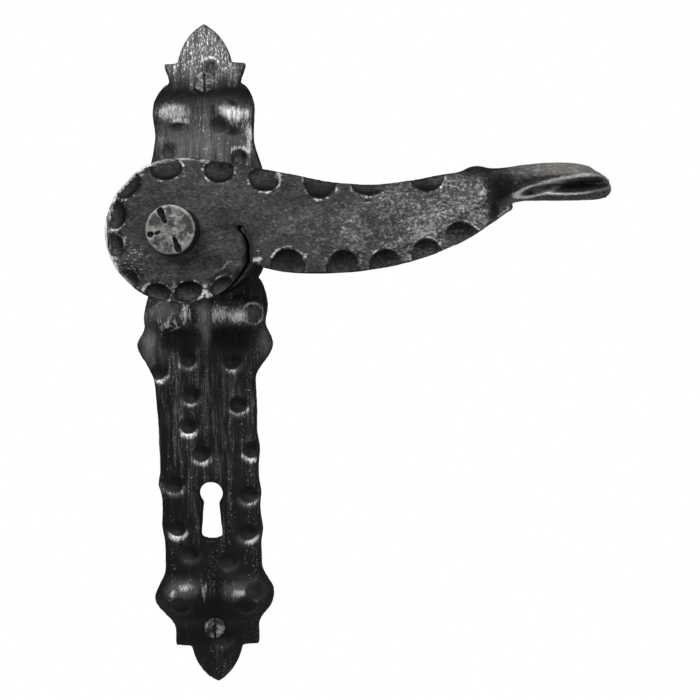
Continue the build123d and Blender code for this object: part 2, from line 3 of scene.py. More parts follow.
import bpy
import numpy as np
from bpy.props import FloatProperty, FloatVectorProperty, IntProperty, PointerProperty
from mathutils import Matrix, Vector


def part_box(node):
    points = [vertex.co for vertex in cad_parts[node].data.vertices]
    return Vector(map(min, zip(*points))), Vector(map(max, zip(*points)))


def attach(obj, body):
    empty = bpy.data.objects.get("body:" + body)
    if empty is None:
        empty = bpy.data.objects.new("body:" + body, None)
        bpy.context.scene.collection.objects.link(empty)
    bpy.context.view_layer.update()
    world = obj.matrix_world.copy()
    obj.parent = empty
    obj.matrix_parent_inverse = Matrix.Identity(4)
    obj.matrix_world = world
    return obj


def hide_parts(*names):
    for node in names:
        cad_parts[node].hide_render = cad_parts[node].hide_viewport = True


bl_info = {
    "name": "Forged Lever Handle",
    "version": (1, 0, 0),
    "blender": (4, 5, 0),
    "location": "View3D > Sidebar > Forged Handle",
    "description": "Dresses a door lever handle as hammered iron with a rubbed silver finish",
    "category": "Object",
}

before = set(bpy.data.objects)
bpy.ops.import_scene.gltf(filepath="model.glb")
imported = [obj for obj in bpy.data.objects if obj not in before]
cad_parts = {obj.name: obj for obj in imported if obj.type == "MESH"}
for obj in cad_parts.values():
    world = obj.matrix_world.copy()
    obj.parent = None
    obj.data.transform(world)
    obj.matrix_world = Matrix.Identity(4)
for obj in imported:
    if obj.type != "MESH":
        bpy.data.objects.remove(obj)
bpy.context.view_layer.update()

# The fixing screws in metres: the radius of a head, and the heights of the lower and the upper screw
SCREW_HEAD = 0.00365
SCREW_HEIGHTS = (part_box("fixing_screws")[0][2] + SCREW_HEAD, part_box("fixing_screws")[1][2] - SCREW_HEAD)


class Socket:
    """A node's output that combines with numbers and other outputs."""

    def __init__(self, nodes, output):
        self.nodes = nodes
        self.output = output

    def math(self, operation, *others):
        values = dict(enumerate((self, *others)))
        return self.nodes.add("ShaderNodeMath", {"operation": operation}, values)

    def __add__(self, other):
        return self.math("ADD", other)

    __radd__ = __add__

    def __mul__(self, other):
        return self.math("MULTIPLY", other)

    __rmul__ = __mul__

    def __sub__(self, other):
        return self.math("SUBTRACT", other)

    def __rsub__(self, other):
        return self.math("MULTIPLY", -1.0).math("ADD", other)

    def ramp(self, low, high):
        """0 up to low, 1 from high on, and a smooth rise between them."""
        values = {"Value": self, "From Min": low, "From Max": high}
        return self.nodes.add("ShaderNodeMapRange", {"interpolation_type": "SMOOTHSTEP"}, values)

    def least(self, other):
        return self.math("MINIMUM", other)

    def most(self, other):
        return self.math("MAXIMUM", other)


class Nodes:
    """A tree of shader nodes while it is put together."""

    def __init__(self, tree):
        self.tree = tree

    def feed(self, place, value):
        """Sets a node's input, or links it."""
        if isinstance(value, Socket):
            self.tree.links.new(value.output, place)
        else:
            place.default_value = value

    def add(self, kind, settings=None, values=None, output=0):
        """A new node with its settings and inputs; returns one of its outputs."""
        node = self.tree.nodes.new(kind)
        for key, value in (settings or {}).items():
            setattr(node, key, value)
        for key, value in (values or {}).items():
            self.feed(node.inputs[key], value)
        return Socket(self, node.outputs[output])


class Paint(Nodes):
    """One material's nodes."""

    def __init__(self, name):
        self.material = bpy.data.materials.new(name)
        self.material.use_nodes = True
        super().__init__(self.material.node_tree)
        self.tree.nodes.clear()
        self.shader = self.tree.nodes.new("ShaderNodeBsdfPrincipled")
        self.output = self.tree.nodes.new("ShaderNodeOutputMaterial")
        self.tree.links.new(self.shader.outputs[0], self.output.inputs[0])

    def place(self, stretch=(1, 1, 1), turn=(0, 0, 0)):
        """The object's own coordinates, stretched and turned."""
        where = self.add("ShaderNodeTexCoord", output="Object")
        return self.add("ShaderNodeMapping", None, {"Vector": where, "Scale": stretch, "Rotation": turn})

    def along(self, axis):
        """A point's coordinate on one of the object's axes."""
        return self.add("ShaderNodeSeparateXYZ", None, {0: self.place()}, output=axis)

    def noise(self, where, scale, detail, roughness=0.55):
        values = {"Vector": where, "Scale": scale, "Detail": detail, "Roughness": roughness}
        return self.add("ShaderNodeTexNoise", None, values)

    def distance(self, x, z):
        """How far a point of the front lies from a place on it."""
        values = {0: self.place((1, 0, 1)), 1: (x, 0, z)}
        return self.add("ShaderNodeVectorMath", {"operation": "DISTANCE"}, values, output="Value")

    def cover(self, share, tone):
        """Lays a matt tone over a share of the shader."""
        matt = self.add("ShaderNodeBsdfDiffuse", None, {"Color": grey(tone)})
        values = {0: share, 1: Socket(self, self.shader.outputs[0]), 2: matt}
        self.feed(self.output.inputs[0], self.add("ShaderNodeMixShader", None, values))

    def attribute(self, name):
        """A number that the mesh keeps for each point."""
        return self.add("ShaderNodeAttribute", {"attribute_name": name}, output="Fac")

    def attributes(self, *names):
        """Several of those numbers."""
        return [self.attribute(name) for name in names]

    def mix(self, share, first, second):
        """The first colour with a share of the second."""
        values = {0: share, 6: first, 7: second}
        return self.add("ShaderNodeMix", {"data_type": "RGBA"}, values, output=2)

    def bump(self, height, distance, strength):
        values = {"Height": height, "Distance": distance, "Strength": strength}
        return self.add("ShaderNodeBump", None, values)

    def finish(self, values):
        """Feeds the shader's inputs and returns the material."""
        for name, value in values.items():
            self.feed(self.shader.inputs[name], value)
        return self.material


def grey(level, warmth=0.0):
    """A grey, with a little more red and less blue where it is warm."""
    return (level * (1 + warmth), level, level * (1 - warmth), 1.0)


def select_only(piece):
    """Selects one object alone and makes it the active one."""
    bpy.ops.object.select_all(action="DESELECT")
    piece.select_set(True)
    bpy.context.view_layer.objects.active = piece


def cad_copy(node, name):
    """A copy of a CAD node's mesh with its triangles joined."""
    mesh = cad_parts[node].data.copy()
    mesh.name = name
    mesh.materials.clear()
    piece = bpy.data.objects.new(name, mesh)
    bpy.context.scene.collection.objects.link(piece)
    select_only(piece)
    bpy.ops.object.mode_set(mode="EDIT")
    bpy.ops.mesh.select_all(action="SELECT")
    bpy.ops.mesh.remove_doubles(threshold=1e-6)
    bpy.ops.object.mode_set(mode="OBJECT")
    return piece


def modify(piece, kind, **settings):
    """Adds a modifier and applies it."""
    modifier = piece.modifiers.new(kind.lower(), kind)
    for key, value in settings.items():
        setattr(modifier, key, value)
    select_only(piece)
    bpy.ops.object.modifier_apply(modifier=modifier.name)


def cloud(name, size):
    """Soft noise for a displacement."""
    texture = bpy.data.textures.new(name, "CLOUDS")
    texture.noise_scale = size
    return texture


def points(mesh):
    """The places of a mesh's points, one in a row."""
    values = np.empty(len(mesh.vertices) * 3, np.float32)
    mesh.vertices.foreach_get("co", values)
    return values.reshape(-1, 3)


def move(mesh, places):
    """Puts a mesh's points to new places."""
    mesh.vertices.foreach_set("co", places.astype(np.float32).ravel())
    mesh.update()


def normals(mesh):
    """The directions in which a mesh's points face, one in a row."""
    values = np.empty(len(mesh.vertices) * 3, np.float32)
    mesh.vertex_normals.foreach_get("vector", values)
    return values.reshape(-1, 3)


def facing(piece, limit):
    """Which points face the front, up to a limit of their normal's y."""
    return normals(piece.data)[:, 1] < limit


def keep(piece, name, values):
    """Stores one number for each point, for the paint to read; the largest one stays."""
    layer = piece.data.attributes.get(name)
    if layer is None:
        layer = piece.data.attributes.new(name, "FLOAT", "POINT")
    else:
        before = np.empty(len(values), np.float32)
        layer.data.foreach_get("value", before)
        values = np.maximum(values, before)
    layer.data.foreach_set("value", values.astype(np.float32))


def relief(piece, rounds):
    """How far each point stands out of the same form smoothed, in millimetres."""
    modifier = piece.modifiers.new("even", "SMOOTH")
    modifier.factor = 0.5
    modifier.iterations = rounds
    even = piece.evaluated_get(bpy.context.evaluated_depsgraph_get())
    smooth = points(even.to_mesh())
    even.to_mesh_clear()
    piece.modifiers.remove(modifier)
    return ((points(piece.data) - smooth) * normals(piece.data)).sum(axis=1) * 1000


def survey(piece, spread, margin, cell=0.0008):
    """How far each point of the front stands out of the front round about it, in millimetres,
    and how much of the round about is front at all."""
    places = points(piece.data)
    front = facing(piece, -0.3)
    column, row = ((places[:, (0, 2)] - places[:, (0, 2)].min(axis=0)) / cell).astype(int).T
    size = (column.max() + 1, row.max() + 1)
    total, count = np.zeros(size), np.zeros(size)
    np.add.at(total, (column[front], row[front]), -places[front, 1])
    np.add.at(count, (column[front], row[front]), 1)
    mean = total / np.maximum(count, 1)
    present = (count > 0).astype(float)
    average = blur(mean * present, spread / cell) / np.maximum(blur(present, spread / cell), 1e-6)
    crest = np.where(front, -places[:, 1] - average[column, row], 0) * 1000
    return crest, blur(present, margin / cell)[column, row]


def blur(values, spread):
    """A soft average over a grid, with nothing outside it."""
    padded = [size + int(6 * spread) for size in values.shape]
    waves = [np.fft.fftfreq(size) for size in padded]
    fade = np.exp(-2 * (np.pi * spread) ** 2 * (waves[0][:, None] ** 2 + waves[1][None, :] ** 2))
    whole = np.fft.ifft2(np.fft.fft2(values, padded) * fade).real
    return whole[:values.shape[0], :values.shape[1]]


def oval(places, x, z, length, width, lean):
    """Distance from the middle of an oval on the front, given in millimetres and degrees, as a
    share of its radius."""
    turn = math.radians(lean)
    across, up = places[:, 0] - x / 1000, places[:, 2] - z / 1000
    along = across * math.cos(turn) + up * math.sin(turn)
    aside = up * math.cos(turn) - across * math.sin(turn)
    return np.hypot(along / (length / 2000), aside / (width / 2000))


def press(piece, x, z, length, width, lean, depth):
    """Rubs a soft oval hollow into the front."""
    places = points(piece.data)
    share = np.clip(1 - oval(places, x, z, length, width, lean) ** 2, 0, 1)
    places[:, 1] += depth / 1000 * share * share * (3 - 2 * share) * facing(piece, -0.2)
    move(piece.data, places)


def nearest(spine, place):
    """The point between a line's two ends that lies nearest to a place."""
    start, end = (np.array(tip) for tip in spine)
    share = (place - start) @ (end - start) / ((end - start) @ (end - start))
    return start + np.clip(share, 0, 1) * (end - start)


# A mark's lip: where its crest lies as a share of the mark's radius, how wide it is in millimetres,
# and how wide it is outside the crest where only one side is lit
LIP_CREST = 1.02
LIP_WIDTH = 1.2
LIT_WIDTH = 2.4
# Depth in millimetres from which a mark's painted shade is as dark as it gets
FULL_DEPTH = 1.2
# How far behind a face its marks still reach, in metres
FACE_REACH = 0.004


def hammer(piece, marks, face=None, spine=None, lit=None, lips=1.0, shade=1.0):
    """Strikes oval marks (place, length, width, lean and depth). They reach their depth below a
    flat face, or deepen what is there. Stores painted shade in the hollows, darkest towards the
    spine, and their lips for the paint: rubbed silver, with a painted highlight where a lip is
    lit on one side only, named by its angle."""
    places = points(piece.data)
    open_front = facing(piece, -0.1)
    pit_shade, lip = np.zeros(len(places)), np.zeros(len(places))
    for x, z, length, width, lean, depth in marks:
        middle = np.array((x, z)) / 1000
        away = oval(places, x, z, length, width, lean)
        share = np.clip(1 - away**2, 0, 1) * open_front
        if face is None:
            places[:, 1] += depth / 1000 * share
        else:
            near = (share > 0) & (places[:, 1] < face + FACE_REACH)
            floor = face + depth / 1000 * share**0.6
            places[:, 1] = np.where(near, np.maximum(places[:, 1], floor), places[:, 1])
        # The lip: rubbed silver, and a painted highlight on its lit side where one is named
        spread = np.where((away > LIP_CREST) & (lit is not None), LIT_WIDTH, LIP_WIDTH)
        ring = np.exp(-(((away - LIP_CREST) * width / spread) ** 2)) * open_front * lips
        if lit is not None:
            toward = np.arctan2(places[:, 2] - middle[1], places[:, 0] - middle[0]) - math.radians(lit)
            ring *= np.clip(np.cos(toward), 0, 1) ** 0.8
        # Painted shade in the hollow, darkest towards the spine where one is given
        dark = share
        if spine is not None:
            inward = nearest(spine, middle) - middle
            side = (places[:, (0, 2)] - middle) @ inward / np.linalg.norm(inward) / (width / 2000)
            strength = min(1, depth / FULL_DEPTH)
            dark = np.clip(share * 7, 0, 1) * np.clip(0.42 + 0.75 * side, 0.12, 1) * strength
            ring *= strength
        pit_shade, lip = np.maximum(pit_shade, dark * shade), np.maximum(lip, ring)
    move(piece.data, places)
    keep(piece, "pit_shade", pit_shade)
    keep(piece, "lip", lip)


def rub(piece, name, patches, reach=1.25):
    """Stores soft oval patches (place, length, width, lean and strength) that fade out at a reach,
    given as a share of their radius."""
    places = points(piece.data)
    for x, z, length, width, lean, strength in patches:
        away = oval(places, x, z, length, width, lean)
        keep(piece, name, strength * np.clip(reach - away, 0, 1))


def swell(piece, axis, side, out, middle, spread, start, run, power=1):
    """Pushes an edge out to one side along x (axis 0) or z (axis 2), in millimetres: fully at a
    middle on the other axis, less beside it, and rising over a run from where it starts."""
    places = points(piece.data) * 1000
    beside = np.exp(-(((places[:, 2 - axis] - middle) / spread) ** 2))
    rise = np.clip((side * places[:, axis] - start) / run, 0, 1) ** power
    places[:, axis] += side * out * beside * rise
    move(piece.data, places / 1000)


def soften(piece, x, z, length, width, rounds):
    """Rubs down the forms inside an upright oval of the front."""
    weights = np.clip(2 - 2 * oval(points(piece.data), x, z, length, width, 0), 0, 1)
    weights *= facing(piece, 0.3)
    group = piece.vertex_groups.new(name="soft")
    for index in np.flatnonzero(weights):
        group.add([int(index)], float(weights[index]), "REPLACE")
    modify(piece, "SMOOTH", factor=0.5, iterations=rounds, vertex_group="soft")
    piece.vertex_groups.clear()


def forge(node, name, voxel, rounds, lumps=()):
    """A CAD node's copy with the soft edges of hammered iron, and lumps of it welded on (place and
    radii in millimetres)."""
    piece = cad_copy(node, name)
    for place, radii in lumps:
        bpy.ops.object.select_all(action="DESELECT")
        bpy.ops.mesh.primitive_uv_sphere_add(
            segments=32, ring_count=16, radius=1, location=Vector(place) / 1000, scale=Vector(radii) / 1000
        )
        piece.select_set(True)
        bpy.context.view_layer.objects.active = piece
        bpy.ops.object.join()
    modify(piece, "REMESH", mode="VOXEL", voxel_size=voxel, use_smooth_shade=True)
    modify(piece, "SMOOTH", factor=0.5, iterations=rounds)
    return piece


def roughen(piece, depth, grain):
    """Makes the faces uneven, and stores what the paint needs to know of the form."""
    modify(piece, "DISPLACE", texture=cloud("hammer", grain), strength=depth, mid_level=0.5)
    modify(piece, "DISPLACE", texture=cloud("scale", grain / 6), strength=depth / 6, mid_level=0.5)
    crest, inner = survey(piece, spread=0.007, margin=0.0012)
    keep(piece, "fine", relief(piece, rounds=24))
    keep(piece, "crest", crest)
    keep(piece, "inner", inner)
    keep(piece, "front", -normals(piece.data)[:, 1])
    keep(piece, "under", -normals(piece.data)[:, 2])


def dress(piece, body, slot, material, *nodes):
    """Gives a piece its finish and its body, and hides the CAD nodes that it stands for."""
    piece.data.materials.clear()
    piece.data.materials.append(material)
    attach(piece, body)
    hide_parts(*nodes)


def rubbed_finish(paint, silver, ground, tone, roughness, bump):
    """Ends a paint that has silver of a tone rubbed over its ground."""
    return paint.finish({
        "Base Color": paint.mix(silver, ground, grey(tone)),
        "Metallic": silver * 0.4 + 0.1,
        "Roughness": roughness,
        "Specular IOR Level": 0.2,
        "Normal": bump,
    })


# Heights on the plate in metres: where silver starts and where it is fullest, the leaf's foot,
# and the black shoulder's lower end, middle and upper end
SILVER_RISE = (-0.15, 0.06)
LEAF_FOOT = (0.053, 0.064)
SHOULDER = (0.0445, 0.0535, 0.0605)
# The keyhole's place, and the distances over which the painted shade round it and round the upper screw's
# seat fades
KEYHOLE = (0, -0.092)
KEYHOLE_SHADE = (0.018, 0.013)
SEAT_SHADE = (0.0062, 0.0048)


def plate_paint(finish):
    """Black iron with silver brushed up and down over what stands out."""
    paint = Paint("plate_iron")

    # The plate's form, as its mesh keeps it
    fine, crest, front, pillow, pit_shade, lip = paint.attributes("fine", "crest", "front", "pillow", "pit_shade", "lip")
    inner = paint.attribute("inner").ramp(0.62, 0.95)
    back = front.ramp(-0.4, -0.8)
    steep = front.ramp(0.85, 0.5) * (1 - back)

    # Noise: drawn out by the brush, in clouds and in spots
    where = paint.place()
    brushed = paint.place((1.0, 1.0, 0.07))
    strokes = paint.noise(brushed, 1700, 3.0, 0.65)
    strands = paint.noise(brushed, 420, 3.0)
    patches = paint.noise(where, 85, 3.0)
    grains = paint.noise(paint.place((1.0, 1.0, 0.4)), 1900, 3.0, 0.75)
    grit = paint.noise(where, 2600, 2.0, 0.65)
    dots = paint.noise(where, 2300, 0.0).ramp(0.7, 0.82) * strands.ramp(0.42, 0.6)
    brush = (strokes - 0.5) * 2.2 + (strands - 0.5) * 1.8 + (patches - 0.5) * 1.1

    # Parts of the plate
    height = paint.along("Z")
    amount = height.ramp(*SILVER_RISE)
    leaf = height.ramp(*LEAF_FOOT)
    keyhole = paint.distance(*KEYHOLE).ramp(*KEYHOLE_SHADE)
    seat = paint.distance(0, SCREW_HEIGHTS[1]).ramp(*SEAT_SHADE)
    # Painted shade along the edges, fullest round the keyhole and the upper screw's seat
    rim = (1 - inner) * (keyhole.most(seat) * 0.75 + 0.25)
    ragged = height + (strands - 0.5) * 0.006 + (patches - 0.5) * 0.008
    shoulder_foot, shoulder_middle, shoulder_top = SHOULDER
    shoulder = ragged.ramp(shoulder_foot, shoulder_middle) * ragged.ramp(shoulder_top, shoulder_middle)
    # Painted shade under the ridges and pillows
    below = (paint.attribute("shade_under_ridges") + brush * 0.15).ramp(0.05, 0.75)

    # Silver on the pillows, round the marks with a painted highlight on their lit side, in specks and along
    # worn rims
    speckle = (grains - 0.5) * (leaf * 1.4 + 2.4) + brush * (0.8 - leaf * 0.4)
    streaks = brush * (amount * (1 - amount) * 3.0 + 0.15)
    high = (pillow * 1.15 + streaks + speckle * 0.5).ramp(0.5, 1.55) * pillow.ramp(0.0, 0.35)
    lips = (lip * 1.4 + speckle * 1.2 + (patches - 0.5) * 3.0).ramp(0.6, 2.0) * lip.ramp(0.1, 0.5)
    specks = (speckle * 1.1 + leaf * 0.45 + amount * 0.3).ramp(0.75, 1.7) * (leaf * 0.4 + 0.5)
    rims = (fine * 4.0 + speckle * 1.4).ramp(1.0, 2.2) * (0.55 - keyhole * 0.3)
    worn = specks.most(rims).most(dots * 0.6) * (amount * 0.5 + 0.5)
    worn = worn * (1 - shoulder * 0.8) * (1 - below * 0.7)
    silver = (high * (amount * 0.35 + 0.65)).most(worn).most(lips)
    silver = silver * front.ramp(0.45, 0.85) * (inner * 0.8 + 0.2).most(pillow)
    silver = silver * (1 - pit_shade.ramp(0.08, 0.4) * 0.85)

    # The iron, painted sheen, the shoulder's black, painted shade and a painted highlight on the lips: its
    # share, and its tone as a multiple of the plate's black
    haze = (brush * 1.1 + speckle * 0.3 + crest * 0.2 + amount * 1.1 + leaf * 0.5).ramp(0.15, 2.15)
    painted_sheen = paint.attribute("painted_sheen") * (brush * 0.35 + 0.75)
    shoulder_black_and_shade = (shoulder * 0.95).most(below * 0.8) * (1 - painted_sheen.ramp(0.1, 0.5))
    painted_shade = steep.most(rim).most(pit_shade.ramp(0.0, 0.45) * 0.65)
    ground = paint.mix(haze, grey(finish.plate * 0.25), grey(finish.plate * 5.0))
    for share, tone in ((painted_sheen, 11), (shoulder_black_and_shade, 0.25), (lip * 0.3, 11), (painted_shade, 0.35)):
        ground = paint.mix(share, ground, grey(finish.plate * tone))

    # Matt black on the walls and on the shoulder where the brush never came, and matt painted shade in the
    # marks, under the ridges and along the edges
    walls = front.ramp(0.5, 0.2) * (1 - back) * 0.5
    painted_matt_shade = (pit_shade * 0.4).most(below * 0.6).most(rim * 0.7) * (1 - silver)
    paint.cover(walls.most(shoulder * 0.6).most(painted_matt_shade), finish.plate * 0.3)
    roughness = 0.5 + steep * 0.3 - silver * 0.08 + (grit - 0.5) * 0.25
    bump = paint.bump(grains * 0.5 + strokes * 0.6 + patches * 0.3, 0.00025, 0.8)
    return rubbed_finish(paint, silver, ground, finish.silver, roughness, bump)


# Lengths along the lever in metres: where wear starts and is fullest, where the grip starts, where
# its own tone comes in and where its tip lies
ARM_WEAR = (0.0, 0.09)
GRIP_START = (0.095, 0.102)
GRIP_TONE = (0.094, 0.114)
GRIP_TIP = (0.119, 0.125)
# The hub's bright rim along the lever and by height, the scratches on it and the slit where the walls'
# painted shade is fullest, in metres
HUB_REACH = (0.03, -0.016)
HUB_LEVEL = (-0.0185, -0.012)
SCRATCHES = (-0.0135, -0.0085)
SCRATCHES_SPREAD = (0.0075, 0.002)
SLIT = (0.0195, -0.0075)
SLIT_SPREAD = (0.016, 0.012)


def lever_paint(finish):
    """Charcoal iron rubbed along its length, with silver between the hammer marks."""
    paint = Paint("lever_iron")

    # The lever's form, as its mesh keeps it
    front, pit_shade, lip, painted_shadow, margin = paint.attributes("front", "pit_shade", "lip", "painted_shadow", "inner")
    inner = margin.ramp(0.6, 0.92)
    back = front.ramp(-0.4, -0.8)

    # Noise: drawn out along the arm, in clouds and in spots
    where = paint.place()
    brushed = paint.place((0.5, 1.0, 1.0), (0, 0.3, 0))
    strokes = paint.noise(brushed, 1600, 3.0, 0.65)
    strands = paint.noise(brushed, 420, 3.0)
    patches = paint.noise(where, 75, 3.0)
    clumps = paint.noise(where, 330, 3.0, 0.6)
    grains = paint.noise(paint.place((0.75, 1.0, 1.0), (0, 0.35, 0)), 1350, 3.0, 0.7)
    grit = paint.noise(where, 2600, 2.0, 0.65)
    brush = (strokes - 0.5) * 1.8 + (strands - 0.5) * 1.2 + (patches - 0.5) * 0.9
    speckle = (grains - 0.5) * 2.6 + brush * 0.4

    # Parts of the lever
    reach = paint.along("X")
    worn = reach.ramp(*ARM_WEAR)
    grip = reach.ramp(*GRIP_START)
    hub = reach.ramp(*HUB_REACH) * paint.along("Z").ramp(*HUB_LEVEL)
    slit = paint.distance(*SLIT).ramp(*SLIT_SPREAD)
    steep = front.ramp(0.97, 0.76) * (1 - grip) * (1 - back)

    # Silver round the marks, along the hub's rim, over the arm and in scratches, and a painted highlight on
    # the facet at the arm's end
    broken = (clumps - 0.5) * (4.5 - grip * 3.5) + grip * 0.4
    lips = (lip * 0.9 + speckle * 0.7 + broken).ramp(0.75, 2.0) * lip.ramp(0.08, 0.6)
    lips = lips * (1 - grip * reach.ramp(*GRIP_TIP) * 0.8)
    edges = margin.ramp(0.88, 0.72) * hub
    edges = edges * (speckle * 0.5 + (clumps - 0.5) * 2.0 + hub * 1.1).ramp(0.2, 0.9)
    brushings = (speckle * 1.1 + worn * 0.5 + (patches - 0.5) * 0.6 + 0.12).ramp(0.45, 1.5)
    brushings = brushings * (worn * 0.34 + 0.2) * (1 - grip * 0.6)
    scratched = paint.distance(*SCRATCHES).ramp(*SCRATCHES_SPREAD) * strokes.ramp(0.56, 0.68)
    bright = (paint.attribute("bright") * 1.4 + speckle * 0.9 + (clumps - 0.5) * 3.0).ramp(0.75, 1.9)
    silver = lips.most(brushings).most(scratched * 0.45) * (inner * 0.75 + 0.25)
    silver = silver.most(edges * 0.85) * (front + grip * 0.42).ramp(0.5, 0.9)
    silver = silver * (1 - painted_shadow.ramp(0.1, 0.6) * 0.9)
    silver = silver.most(bright * front.ramp(0.3, 0.8) * 0.8)
    silver = silver * (1 - pit_shade.ramp(0.02, 0.4) * 0.75)

    # The iron, lighter on the grip, and painted shade under the grip, on faces turned away, along the edges,
    # in the marks and in the fold: its share, and its tone against the lever's black
    haze = (brush * 1.2 + speckle * 0.7 + worn * 0.6 + 0.1).ramp(-0.8, 1.7)
    ground = paint.mix(haze, grey(finish.lever * 0.12), grey(finish.lever * 2.6))
    grip_iron = paint.mix((patches + grit * 0.4).ramp(0.45, 0.95), grey(0.06, 0.05), grey(0.15, 0.06))
    ground = paint.mix(reach.ramp(*GRIP_TONE) * front.ramp(0.1, 0.5), ground, grip_iron)
    # Painted shade on the grip's underside
    grip_underside_shade = paint.attribute("under").ramp(0.2, 0.75) * grip * 0.85
    hollow = (pit_shade * (1.0 - speckle.ramp(-0.4, 1.4) * 0.5) + (clumps - 0.5) * pit_shade * 0.8).least(0.97)
    painted_shade = (steep * 0.75).most((1 - inner) * (1 - grip) * 0.6).most(hollow).most(painted_shadow.ramp(0.05, 0.8) * 0.9)
    for share, tone in ((grip_underside_shade, 0.3), (painted_shade, 0.16)):
        ground = paint.mix(share, ground, grey(finish.lever * tone))

    # Matt black on the walls, fullest in the slit as painted shade, and matt painted shade in the marks, in
    # the fold, on the hump and along the slit
    walls = front.ramp(0.45, 0.15) * (1 - grip) * (1 - back) * (slit * 0.75 + 0.25)
    painted_matt_shade = pit_shade * pit_shade * 0.85 * (1 - silver)
    paint.cover(walls.most(painted_matt_shade).most(painted_shadow * 0.7), finish.lever * 0.14)
    roughness = 0.52 + steep * 0.3 - silver * 0.08 + (grit - 0.5) * 0.25
    bump = paint.bump(grit * 0.4 + grains * 0.5 + patches * 0.3, 0.00022, 0.8)
    return rubbed_finish(paint, silver, ground, finish.silver, roughness, bump)


# The worn rim of the rivet's face, as distances from its middle in metres
RIVET_RIM = (0.0061, 0.0069)


def rivet_paint():
    """Worn steel with dark blotches, and chisel marks with painted shade in them."""
    paint = Paint("worn_rivet_steel")
    fine = paint.attribute("fine")
    front = paint.attribute("front").ramp(0.5, 0.9)
    pit_shade = paint.attribute("pit_shade")
    where = paint.place()
    blotches = paint.noise(where, 230, 5.0, 0.7)
    grit = paint.noise(where, 1700, 3.0, 0.65)
    shift = paint.add("ShaderNodeTexNoise", None, {"Vector": where, "Scale": 500.0}, output="Color")
    shift = paint.add("ShaderNodeVectorMath", {"operation": "SCALE"}, {0: shift, "Scale": 0.003})
    warped = paint.add("ShaderNodeVectorMath", {"operation": "ADD"}, {0: where, 1: shift})
    cells = paint.add("ShaderNodeTexVoronoi", None, {"Vector": warped, "Scale": 480}, output="Color")
    facets = paint.add("ShaderNodeRGBToBW", None, {0: cells})
    rim = paint.distance(0, 0).ramp(*RIVET_RIM)
    tone = blotches * 1.5 + facets * 0.5 + grit * 0.5 + fine * 2.0 + rim * 0.25 - pit_shade * 1.3
    dark = tone.ramp(1.6, 1.06)
    face = paint.mix(dark, grey(0.22, 0.04), grey(0.022))
    paint.cover((pit_shade * 1.2).least(0.9), 0.008)
    return paint.finish({
        "Base Color": paint.mix(front, grey(0.015), face),
        "Metallic": 0.6 - dark * 0.3,
        "Roughness": 0.42 + grit * 0.16,
        "Normal": paint.bump(blotches * 0.6 + facets * 0.3 + grit * 0.4, 0.0004, 0.8),
    })


# What the stains on the hidden parts leave of their colour
STAINED = 0.65


def plain_finish(name, colour, metallic, roughness, streak):
    """A turned, drawn or moulded material with faint tool marks and stains."""
    paint = Paint(name)
    marks = paint.noise(paint.place(streak), 1600, 3.0)
    clouds = paint.noise(paint.place(), 140, 4.0, 0.6)
    deep = (*(channel * STAINED for channel in colour[:3]), 1.0)
    return paint.finish({
        "Base Color": paint.mix(clouds.ramp(0.4, 0.75), colour, deep),
        "Metallic": metallic,
        "Roughness": roughness + (marks - 0.5) * 0.18 + (clouds - 0.5) * 0.12,
        "Normal": paint.bump(marks, 0.00006, 0.5),
    })


class FinishSettings(bpy.types.PropertyGroup):
    """Tones of the rubbed iron."""

    silver: FloatProperty(
        name="Silver", description="Tone of the rubbed silver", default=0.7, min=0, max=1, subtype="FACTOR"
    )
    plate: FloatProperty(
        name="Plate", description="Tone of the plate's black", default=0.017, min=0, max=1, subtype="FACTOR"
    )
    lever: FloatProperty(
        name="Lever", description="Tone of the lever's black", default=0.03, min=0, max=1, subtype="FACTOR"
    )


class ForgeSettings(bpy.types.PropertyGroup):
    """How fine and how uneven the forged pieces are."""

    plate_grid: FloatProperty(
        name="Plate grid", description="Mesh size of the plate", default=0.00058, unit="LENGTH"
    )
    lever_grid: FloatProperty(
        name="Lever grid", description="Mesh size of the lever", default=0.00046, unit="LENGTH"
    )
    rivet_grid: FloatProperty(
        name="Rivet grid", description="Mesh size of the rivet", default=0.00026, unit="LENGTH"
    )
    depth: FloatProperty(
        name="Depth", description="Height of the hammer's traces", default=0.0007, unit="LENGTH"
    )
    tenon_short: FloatProperty(
        name="Tenon", description="How far the tenon ends behind the face", default=0.0008, unit="LENGTH"
    )
    grain: FloatProperty(
        name="Grain", description="Width of the hammer's traces", default=0.011, unit="LENGTH"
    )


class ThreadSettings(bpy.types.PropertyGroup):
    """The thread on the fixing screws."""

    pitch: FloatProperty(name="Pitch", description="Rise in one turn", default=0.0017, unit="LENGTH")
    core: FloatProperty(name="Core", description="Radius under the thread", default=0.00145, unit="LENGTH")
    crest: FloatProperty(name="Crest", description="Radius over the thread", default=0.002, unit="LENGTH")
    point: FloatProperty(name="Point", description="Length of the point", default=0.005, unit="LENGTH")
    steps: IntProperty(name="Steps", description="Faces round one turn", default=28, min=8)


